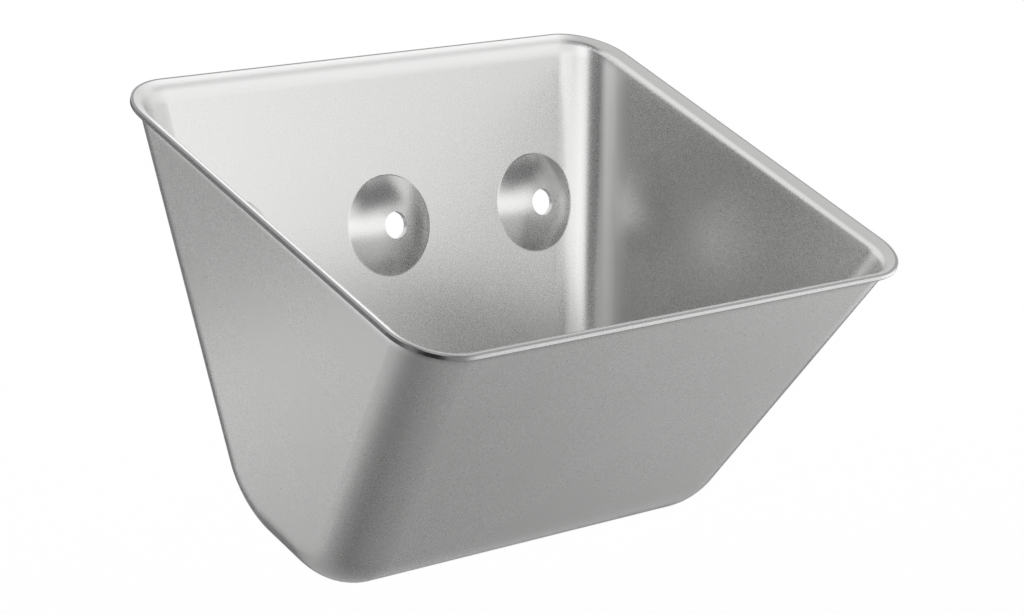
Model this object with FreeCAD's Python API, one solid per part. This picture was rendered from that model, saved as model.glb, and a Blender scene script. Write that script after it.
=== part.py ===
import FreeCAD, Part
import math
import os
from FreeCAD import Placement, Rotation, Vector

# Elevator bucket, deep-drawn from one sheet of steel and bolted to a belt.
#
# Frame: the origin is where the axis of the middle bolt hole meets the belt face.
# +X runs along the bucket's length, +Y points out of its back into the belt, and
# +Z is up along the back wall.  Lengths are in millimetres, angles in degrees.

# Sheet
SHEET = 1.8                 # steel thickness, the same everywhere

# Rim: oblong trimmed edge, in a plane that falls from the back to the front
RIM_LENGTH = 200.0          # trimmed size along X
RIM_REACH = 169.5           # trimmed size from back to front, down the slope
RIM_SLOPE = 30.3            # fall of the rim plane
RIM_ABOVE_BOLTS = 56.8      # top of the rim at the back, above the bolt row
LIP_RADIUS = 4.5            # inside radius where the walls roll out into the lip
LIP_FLAT = 0.5              # flat left between that roll and the trimmed edge
EDGE_BREAK = 0.25           # deburring chamfer along the trimmed edge

# Cup: outside shape of the drawn walls
BACK_DROP = 82.5            # bolt row down to where the back and floor planes meet
FLOOR_WIDTH = 60.3          # from there to the keel, where the floor and front planes meet
FLOOR_SLOPE = 28.7          # fall of the floor from the back to the keel
END_DRAFT = 10.4            # lean of the end walls from the drawing direction
BEND_RADIUS = 33.0          # outside radius of the two bends, below the back and at the keel
WALL_CORNER = 16.8          # outside radius where the end walls meet the others

# Bolt row: each hole is in the middle of a dimple raised into the cup
BOLT_COUNT = 3
BOLT_PITCH = 63.5
BOLT_HOLE = 9.0             # clearance hole for an M8 belt bolt
DIMPLE_DIAMETER = 33.5      # foot of the dome on the inside of the back wall
DIMPLE_RISE = 4.1           # height of the dome, as if it had no hole
DIMPLE_CREASE = 1.0         # inside radius of the crease around the dome

LENGTHWISE = Vector(1, 0, 0)
BELTWARD = Vector(0, 1, 0)
LENGTH_TOLERANCE = 0.01


def cosine(angle):
    return math.cos(math.radians(angle))


def tangent(angle):
    return math.tan(math.radians(angle))


def side_vector(angle):
    """Unit vector in the YZ plane, at an angle above the direction away from the belt."""
    return Vector(0, -cosine(angle), cosine(90 - angle))


def lip_width(turn):
    """Width from the trimmed edge to where a wall's inside face would meet the rim plane.

    turn is the angle through which that wall rolls out into the lip.
    """
    return LIP_RADIUS * tangent(turn / 2) + LIP_FLAT


BACK_TURN = 90 - RIM_SLOPE
END_TURN = 90 - END_DRAFT

# The rim plane's own frame: its origin is in the middle of the trimmed back edge,
# its y axis points up the slope and its z axis along the drawing direction.
RIM_BACK = Vector(0, lip_width(BACK_TURN) * cosine(RIM_SLOPE) - SHEET, RIM_ABOVE_BOLTS)
RIM_FRAME = Placement(RIM_BACK, Rotation(LENGTHWISE, RIM_SLOPE))
DOWN_SLOPE = side_vector(-RIM_SLOPE)
RIM_NORMAL = side_vector(90 - RIM_SLOPE)

HEEL = side_vector(-90) * BACK_DROP
KEEL = HEEL + side_vector(-FLOOR_SLOPE) * FLOOR_WIDTH


def front_rise():
    """Slope of the front wall, which runs from the keel up to the roll under the lip."""
    roll_centre = RIM_BACK + DOWN_SLOPE * (RIM_REACH - LIP_FLAT) - RIM_NORMAL * LIP_RADIUS
    span = roll_centre - KEEL
    climb = math.atan2(span.z, -span.y) + math.asin((LIP_RADIUS - SHEET) / span.Length)
    return math.degrees(climb)


FRONT_SLOPE = front_rise()


def crossing(point_a, way_a, point_b, way_b):
    """Where two lines in the YZ plane meet."""
    gap = point_b - point_a
    along = (gap.y * way_b.z - gap.z * way_b.y) / (way_a.y * way_b.z - way_a.z * way_b.y)
    return point_a + way_a * along


def side_corners(inset, rise):
    """Corners of the cup's side view: back top, heel, keel and front top.

    inset moves the walls in from the outside faces, and rise carries them on past
    the rim plane.
    """
    down, floor, front = side_vector(-90), side_vector(-FLOOR_SLOPE), side_vector(FRONT_SLOPE)
    on_back = BELTWARD * -inset
    on_floor = KEEL + side_vector(90 - FLOOR_SLOPE) * inset
    on_front = KEEL + side_vector(90 + FRONT_SLOPE) * inset
    on_top = RIM_BACK + RIM_NORMAL * rise
    return [
        crossing(on_back, down, on_top, DOWN_SLOPE),
        crossing(on_back, down, on_floor, floor),
        crossing(on_floor, floor, on_front, front),
        crossing(on_front, front, on_top, DOWN_SLOPE),
    ]


def side_prism(inset, rise):
    """The side view drawn out along X, with both bends rounded."""
    corners = side_corners(inset, rise)
    outline = Part.makePolygon(corners + corners[:1])
    outline.translate(LENGTHWISE * -RIM_LENGTH)
    prism = Part.Face(outline).extrude(LENGTHWISE * 2 * RIM_LENGTH)
    bends = [edge for edge in prism.Edges for bend in corners[1:3] if passes(edge, bend)]
    return prism.makeFillet(BEND_RADIUS - inset, bends)


def passes(edge, point):
    """True where an edge's middle is at the given point."""
    return (edge.CenterOfMass - point).Length < LENGTH_TOLERANCE


def end_wedge(inset, rise):
    """The end view, with its two drafted walls, drawn out along the rim's slope."""
    at_rim = RIM_LENGTH / 2 - lip_width(END_TURN) + (SHEET - inset) / cosine(END_DRAFT)
    top = at_rim + rise * tangent(END_DRAFT)
    bottom = at_rim - RIM_REACH * tangent(END_DRAFT)
    corners = [(-top, rise), (top, rise), (bottom, -RIM_REACH), (-bottom, -RIM_REACH)]
    outline = Part.makePolygon([Vector(x, RIM_REACH, z) for x, z in corners + corners[:1]])
    wedge = Part.Face(outline).extrude(BELTWARD * -3 * RIM_REACH)
    wedge.Placement = RIM_FRAME
    return wedge


def cup(inset, rise):
    """The cup filled solid, with the end walls rounded into the back, floor and front."""
    block = side_prism(inset, rise).common(end_wedge(inset, rise)).Solids[0]
    ends = [face for face in block.Faces if is_end_wall(face)]
    corners = [edge for end in ends for edge in end.Edges if abs(rim_height(edge) - rise) > SHEET]
    return block.makeFillet(WALL_CORNER - inset, corners)


def is_end_wall(face):
    """True for a plane face that leans by the draft alone from standing across X."""
    return isinstance(face.Surface, Part.Plane) and abs(face.normalAt(0, 0).x) > cosine(1.5 * END_DRAFT)


def rim_height(edge):
    """Height of an edge's middle above the rim plane."""
    return (edge.CenterOfMass - RIM_BACK).dot(RIM_NORMAL)


def rim_plate():
    """Flat plate out to the trim line, one sheet thick, with its top in the rim plane.

    Its corners follow the wall's, so that the lip stands out as far there as at the ends.
    """
    plate = Part.makeBox(RIM_LENGTH, RIM_REACH, SHEET, Vector(-RIM_LENGTH / 2, -RIM_REACH, -SHEET))
    plate.Placement = RIM_FRAME
    upright = [edge for edge in plate.Edges if abs(rim_height(edge) + SHEET / 2) < LENGTH_TOLERANCE]
    overhang = lip_width(END_TURN) - SHEET / cosine(END_DRAFT)
    return plate.makeFillet(WALL_CORNER + overhang, upright)


def drawn_shell():
    """Sheet of even thickness: cup walls that roll out into a narrow trimmed lip."""
    plate = rim_plate()
    trim = Part.makeCompound([edge for edge in plate.Edges])
    shell = cup(0, -SHEET / 2).fuse(plate).cut(cup(SHEET, LIP_RADIUS)).removeSplitter()
    under = [edge for edge in rim_edges(shell, -SHEET) if not touches(edge, trim)]
    shell = shell.makeFillet(LIP_RADIUS - SHEET, under)
    mouth = [edge for edge in rim_edges(shell, 0) if not touches(edge, trim)]
    shell = shell.makeFillet(LIP_RADIUS, mouth)
    edges = [edge for edge in rim_edges(shell, 0) + rim_edges(shell, -SHEET) if touches(edge, trim)]
    return shell.makeChamfer(EDGE_BREAK, edges)


def rim_edges(shape, height):
    """Edges that lie in the plane at a height above the rim plane."""
    return [edge for edge in shape.Edges if all(is_level(vertex, height) for vertex in edge.Vertexes)]


def is_level(vertex, height):
    return abs((vertex.Point - RIM_BACK).dot(RIM_NORMAL) - height) < LENGTH_TOLERANCE


def touches(edge, others):
    return edge.distToShape(others)[0] < LENGTH_TOLERANCE


def ball_radius(inset):
    """Radius of the dome's face at an inset from the belt face."""
    foot = DIMPLE_DIAMETER / 2
    return (foot ** 2 + DIMPLE_RISE ** 2) / (2 * DIMPLE_RISE) + inset - SHEET


def ball_centre(centre):
    """Where the ball that both faces of a dome belong to has its centre."""
    return centre + BELTWARD * (ball_radius(SHEET) - DIMPLE_RISE - SHEET)


def dome(inset, centre):
    """Segment of the ball that stands on the plane at an inset from the belt face."""
    radius = ball_radius(inset)
    side = 2 * ball_radius(SHEET)
    ball = Part.makeSphere(radius, ball_centre(centre))
    return ball.cut(Part.makeBox(side, side, side, centre + Vector(-side / 2, -inset, -side / 2)))


def bolt_centres():
    """Where the bolt axes meet the belt face."""
    first = -BOLT_PITCH * (BOLT_COUNT - 1) / 2
    return [LENGTHWISE * (first + BOLT_PITCH * place) for place in range(BOLT_COUNT)]


def add_dimples(shell):
    """Raise a dome of even thickness around each bolt axis, then pierce its hole.

    The outer domes run into the rounded corners, so a dome is kept inside the cup.
    """
    inside = cup(SHEET, LIP_RADIUS)
    for centre in bolt_centres():
        shell = shell.fuse(dome(SHEET, centre).common(inside)).cut(dome(0, centre))
        shell = round_foot(shell, centre, SHEET, DIMPLE_CREASE)
        shell = round_foot(shell, centre, 0, DIMPLE_CREASE + SHEET)
        through = DIMPLE_RISE + 2 * SHEET
        drill = Part.makeCylinder(BOLT_HOLE / 2, through, centre - BELTWARD * through, BELTWARD)
        shell = shell.cut(drill)
    return shell.Solids[0]


def round_foot(shell, centre, inset, radius):
    """Round the edge all around a dome's face at an inset from the belt face."""
    faces = [face for face in shell.Faces if is_dome(face, centre, ball_radius(inset))]
    return shell.makeFillet(radius, [edge for face in faces for edge in face.Edges])


def is_dome(face, centre, radius):
    ball = face.Surface
    if not isinstance(ball, Part.Sphere) or abs(ball.Radius - radius) > LENGTH_TOLERANCE:
        return False
    return (ball.Center - ball_centre(centre)).Length < LENGTH_TOLERANCE


bucket = add_dimples(drawn_shell())
os.makedirs("parts", exist_ok=True)
bucket.exportStep("parts/bucket.step")
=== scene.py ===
import bmesh
import bpy
import math
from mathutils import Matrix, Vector


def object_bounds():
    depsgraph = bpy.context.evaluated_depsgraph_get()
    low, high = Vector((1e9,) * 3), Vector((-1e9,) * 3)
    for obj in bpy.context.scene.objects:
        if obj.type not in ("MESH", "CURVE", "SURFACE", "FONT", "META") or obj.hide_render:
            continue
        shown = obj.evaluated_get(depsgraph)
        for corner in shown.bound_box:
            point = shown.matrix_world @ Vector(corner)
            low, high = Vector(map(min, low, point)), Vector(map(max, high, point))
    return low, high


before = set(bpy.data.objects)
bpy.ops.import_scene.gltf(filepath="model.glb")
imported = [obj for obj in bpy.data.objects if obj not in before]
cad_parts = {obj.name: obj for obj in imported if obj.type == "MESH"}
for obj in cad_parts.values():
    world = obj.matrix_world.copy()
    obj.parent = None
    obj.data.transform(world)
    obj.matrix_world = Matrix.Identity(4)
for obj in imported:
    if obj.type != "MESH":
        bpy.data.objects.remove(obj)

cad_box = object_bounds()


# Bucket: one deep-drawn pressing of bare steel that bolts to a belt through three domed seats.
# It is left as it came from the press, with a fine satin grain.  Highlights and shade are
# painted into its colour in places, on the lip, along the sheared edge and inside the back corners.
class Value:
    """A socket of a finish.  Arithmetic on it adds Math nodes, and | takes the larger of two."""

    def __init__(self, tree, socket=None):
        self.tree, self.socket = tree, socket

    def node(self, kind, settings=None, sockets=None, output=0):
        made = self.tree.nodes.new(kind)
        for name, setting in (settings or {}).items():
            setattr(made, name, setting)
        for name, value in (sockets or {}).items():
            if isinstance(value, Value):
                self.tree.links.new(value.socket, made.inputs[name])
            else:
                made.inputs[name].default_value = value
        return Value(self.tree, made.outputs[output] if made.outputs else None)

    def math(self, operation, first, second=0.0):
        return self.node("ShaderNodeMath", {"operation": operation}, {0: first, 1: second})

    def __add__(self, other):
        return self.math("ADD", self, other)

    def __radd__(self, other):
        return self.math("ADD", other, self)

    def __sub__(self, other):
        return self.math("SUBTRACT", self, other)

    def __rsub__(self, other):
        return self.math("SUBTRACT", other, self)

    def __mul__(self, other):
        return self.math("MULTIPLY", self, other)

    def __rmul__(self, other):
        return self.math("MULTIPLY", other, self)

    def __or__(self, other):
        return self.math("MAXIMUM", self, other)

    def __ror__(self, other):
        return self.math("MAXIMUM", other, self)


steel = bpy.data.materials.new("satin_pressed_steel")
steel.use_nodes = True
steel.node_tree.nodes.clear()
finish = Value(steel.node_tree)
place = finish.node("ShaderNodeTexCoord", output="Object")


def mottle(scale, detail, roughness):
    sockets = {"Vector": place, "Scale": scale, "Detail": detail, "Roughness": roughness}
    return finish.node("ShaderNodeTexNoise", {}, sockets, "Fac")


grain = mottle(1400.0, 3.0, 0.6)
cloud = mottle(22.0, 4.0, 0.55)

# Places on the lip are measured from the middle of its back edge, where the rim plane starts
# its fall to the front.  The trimmed edge is an oblong with round corners, and the end walls
# lean in below it.
millimetre = 0.001
sheet = 1.8 * millimetre
rim_back = (0.0, 0.86 * millimetre, 56.8 * millimetre)
rim_fall = math.radians(30.3)
trim_half_length = 100 * millimetre
trim_half_reach = 84.75 * millimetre
trim_corner = 19.2 * millimetre
end_wall_top = 95.75 * millimetre
end_draft = math.radians(10.4)
from_rim = finish.node("ShaderNodeVectorMath", {"operation": "SUBTRACT"}, {0: place, 1: rim_back}, "Vector")


def along(way):
    return finish.node("ShaderNodeVectorMath", {"operation": "DOT_PRODUCT"}, {0: from_rim, 1: way}, "Value")


height = along((0, -math.sin(rim_fall), math.cos(rim_fall)))
down_slope = along((0, -math.cos(rim_fall), -math.sin(rim_fall)))
sideways = along((1, 0, 0))
off_middle = finish.math("ABSOLUTE", sideways)
off_centre = finish.math("ABSOLUTE", down_slope - trim_half_reach)
past_length = (off_middle - (trim_half_length - trim_corner)) | 0
past_reach = (off_centre - (trim_half_reach - trim_corner)) | 0
inside_trim = trim_corner - finish.math("SQRT", past_length * past_length + past_reach * past_reach)


def fade(measure, start, full):
    """0 as far as start and 1 from full on, both in millimetres.  full may be the smaller."""
    sockets = {0: measure, 1: start * millimetre, 2: full * millimetre}
    return finish.node("ShaderNodeMapRange", {"interpolation_type": "SMOOTHSTEP"}, sockets)


# The lip reaches from the trimmed edge to where its roll has turned into the walls.  A highlight
# is painted on it at the back, at the left and in the roll on the right, and shade is painted on
# the right's flat and along the front, in place of what a fuller roll would show.
lip = fade(height, -6.2, -3.5)
back_lip = lip * fade(down_slope, 12, 4) * fade(off_middle, 94, 80)
left_lip = lip * fade(sideways, -82, -92) * fade(down_slope, 12, 30)
front_lip = lip * fade(down_slope, 148, 160)
right_flat = fade(height, -2.2, -1.2) * fade(sideways, 82, 92)
right_roll = lip * fade(height, -1.2, -2.2) * fade(sideways, 80, 86)

# A highlight is painted on the sheared edge, with painted shade at both ends.  Lines of painted
# shade run above and below it, and along the front the upper one lies a little further in.
sheared = fade(inside_trim, 0.4, 0.2) * fade(height, 0.0, -0.3) * fade(sideways, 94, 89)
upper_shade_line = fade(inside_trim, 1.1, 0.7) * fade(height, -0.6, -0.3) * (1 - front_lip)
further_in = fade(inside_trim, 1.3, 1.0) * fade(inside_trim, 0.1, 0.3)
front_shade_line = further_in * fade(height, -0.6, -0.3) * front_lip
edge_end = fade(sideways, -80, -87) | fade(sideways, 89, 94)
edge_end_shade = fade(inside_trim, 0.6, 0.4) * fade(height, 0.1, -0.2) * edge_end
lower_shade_line = fade(inside_trim, 0.4, 0.3) * fade(height, -1.2, -1.4)

# A painted highlight, rougher than the satin, runs down inside each back corner, in place of the
# light that gathers there on the real sheet.
from_back = -sheet - along((0, 1, 0)) - rim_back[1]
from_end = (end_wall_top + height * math.tan(end_draft) - off_middle) * math.cos(end_draft)
across_back = fade(from_back, 6.8, 10.0) * fade(from_back, 20.5, 10.5)
across_end = fade(from_end, -1.2, -0.4) * fade(from_end, 6.0, 4.0)
corner_highlight_line = across_back * across_end * fade(height, -1, -6)


def bare_steel(tone):
    return (tone, tone, tone - 0.005, 1)


def tint(mask, below, above):
    return finish.node("ShaderNodeMix", {"data_type": "RGBA"}, {0: mask, 6: below, 7: above}, 2)


dark_satin, pale_satin = bare_steel(0.61), bare_steel(0.71)
# Painted highlight and painted shade for the lip, and a painted highlight for its roll on the right.
lip_highlight_paint, lip_shade_paint, roll_highlight_paint = bare_steel(0.97), bare_steel(0.52), bare_steel(0.75)
# Painted highlights for the back corners and the sheared edge.
corner_highlight_paint, edge_highlight_paint = bare_steel(0.98), bare_steel(0.95)
# Painted shade for the lines along the sheared edge and at its ends.
edge_shade_paint = (0.32, 0.32, 0.32, 1)

shade = tint(grain * 0.3 + cloud * 0.7, dark_satin, pale_satin)
shade = tint(back_lip | left_lip, shade, lip_highlight_paint)
shade = tint(front_lip | right_flat, shade, lip_shade_paint)
shade = tint(right_roll, shade, roll_highlight_paint)
shade = tint(corner_highlight_line, shade, corner_highlight_paint)
shade = tint(sheared, shade, edge_highlight_paint)
shade = tint((upper_shade_line + front_shade_line) | lower_shade_line | edge_end_shade, shade, edge_shade_paint)

# Roughness: the satin's own, and what the back lip and the corner lines add to it.
satin, matt_lip, matt_line = 0.27, 0.25, 0.4
unevenness = (grain - 0.5) * 0.06 + (cloud - 0.5) * 0.06
relief = finish.node("ShaderNodeBump", {}, {"Strength": 0.02, "Distance": 0.2 * millimetre, "Height": grain})
look = {
    "Base Color": shade,
    "Metallic": 1.0,
    "Roughness": satin + unevenness + back_lip * matt_lip + corner_highlight_line * matt_line,
    "Normal": relief,
}
surface = finish.node("ShaderNodeBsdfPrincipled", {}, look)
finish.node("ShaderNodeOutputMaterial", {}, {"Surface": surface})

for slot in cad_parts["bucket"].material_slots:
    slot.material = steel


# Floor: a white, matt studio floor.  The bucket hangs above it, as it does on its belt,
# so nothing of it touches the floor.
floor_gap = 0.60
floor_size = 60


def matt_paint(name, tone, roughness, shine):
    paint = bpy.data.materials.new(name)
    paint.use_nodes = True
    sockets = paint.node_tree.nodes["Principled BSDF"].inputs
    sockets["Base Color"].default_value = (tone, tone, tone, 1)
    sockets["Roughness"].default_value = roughness
    sockets["Specular IOR Level"].default_value = shine
    return paint


bpy.ops.mesh.primitive_plane_add(size=floor_size, location=(0, 0, cad_box[0].z - floor_gap))
floor = bpy.context.object
floor.name = "floor"
floor.data.materials.append(matt_paint("pale_floor", 1.0, 0.9, 0.1))


# Light: a white room with a long soft lamp in front and a smaller one to its left.  Grey
# cards around the bucket give the steel something darker than the room to show.
room = bpy.data.worlds.new("white_room")
bpy.context.scene.world = room
room.use_nodes = True
room.node_tree.nodes["Background"].inputs["Color"].default_value = (1, 1, 1, 1)
room.node_tree.nodes["Background"].inputs["Strength"].default_value = 1.0

middle = Vector((0.0, -0.07, -0.03))
lamp_watts = 4.0


def seen_at(azimuth, elevation, distance):
    """A point seen from the bucket's middle, in degrees from +X and above level."""
    azimuth, elevation = math.radians(azimuth), math.radians(elevation)
    level = math.cos(elevation)
    way = Vector((level * math.cos(azimuth), level * math.sin(azimuth), math.sin(elevation)))
    return middle + distance * way


def soft_lamp(name, azimuth, elevation, distance, size, brightness):
    """A lamp that faces the bucket, with the same watts to each square metre at brightness 1."""
    lamp = bpy.data.objects.new(name, bpy.data.lights.new(name, "AREA"))
    bpy.context.collection.objects.link(lamp)
    lamp.location = seen_at(azimuth, elevation, distance)
    lamp.rotation_euler = (middle - lamp.location).to_track_quat("-Z", "Y").to_euler()
    lamp.data.shape = "RECTANGLE"
    lamp.data.size, lamp.data.size_y = size
    lamp.data.energy = brightness * lamp_watts * size[0] * size[1]
    lamp.visible_camera = False


def grey_card(name, corners, tone):
    outline = bmesh.new()
    outline.faces.new([outline.verts.new(corner) for corner in corners])
    mesh = bpy.data.meshes.new(name)
    outline.to_mesh(mesh)
    outline.free()
    mesh.materials.append(matt_paint(name, tone, 1.0, 0.0))
    card = bpy.data.objects.new(name, mesh)
    bpy.context.collection.objects.link(card)
    card.visible_camera = False
    return card


def standing_card(name, azimuths, elevations, distance, tone):
    left, right = azimuths
    low, high = elevations
    sides = [(left, low), (right, low), (right, high), (left, high)]
    grey_card(name, [seen_at(azimuth, elevation, distance) for azimuth, elevation in sides], tone)


soft_lamp("front_lamp", -93, -1, 1.75, (2.8, 0.66), 0.38)
soft_lamp("left_lamp", -118, 12, 1.8, (0.8, 0.9), 0.2)
standing_card("upper_right_card", (-96, -34), (15, 39), 1.3, 0.2)
standing_card("upper_left_card", (-152, -84), (33, 50), 1.3, 0.15)
standing_card("left_card", (138, 226), (-16, 24), 1.1, 0.25)
standing_card("back_left_card", (104, 138), (-11, 16), 0.9, 0.75)
standing_card("far_card", (70, 106), (-34, 16), 0.6, 0.3)
standing_card("far_right_card", (18, 70), (-34, -4), 0.6, 0.3)

# Two cards lie level: one below and beyond the front left corner, one under the whole bucket.
near_left = [(-0.5, -0.45, -0.28), (-0.18, -0.45, -0.28), (-0.18, -0.14, -0.28), (-0.5, -0.14, -0.28)]
underneath = [(-0.3, -0.55, 0), (0.6, -0.55, 0), (0.6, 0.6, 0), (-0.8, 1.0, 0)]
grey_card("low_left_card", near_left, 0.03)
low_card = grey_card("low_card", underneath, 0.5)
low_card.location = (-0.14, 0.03, -0.3)

# A soft shadow is painted on the card underneath, dark in its middle and paler outward, in place of the
# bucket's own shadow on a floor close below it.
darkest, palest, paler_by_metre = 0.29, 0.85, 1.25
stretch = (0.75, 1.3, 1.0)
shadow_paint = Value(low_card.active_material.node_tree)
spot = shadow_paint.node("ShaderNodeTexCoord", output="Object")
oval = shadow_paint.node("ShaderNodeVectorMath", {"operation": "MULTIPLY"}, {0: spot, 1: stretch}, "Vector")
reach = shadow_paint.node("ShaderNodeVectorMath", {"operation": "LENGTH"}, {0: oval}, "Value")
tone = shadow_paint.math("MINIMUM", darkest + reach * paler_by_metre, palest)
shadow_paint.tree.links.new(tone.socket, shadow_paint.tree.nodes["Principled BSDF"].inputs["Base Color"])


# Camera: a little above the mouth, off the front left corner.
camera = bpy.data.objects.new("camera", bpy.data.cameras.new("camera"))
bpy.context.collection.objects.link(camera)
camera.location = (-0.59928, -0.80574, 0.0623)
camera.rotation_euler = (math.radians(84.622), math.radians(6.2), math.radians(-39.428))
camera.data.lens = 106.46
bpy.context.scene.camera = camera
bpy.context.scene.view_settings.view_transform = "Standard"


bpy.context.view_layer.update()
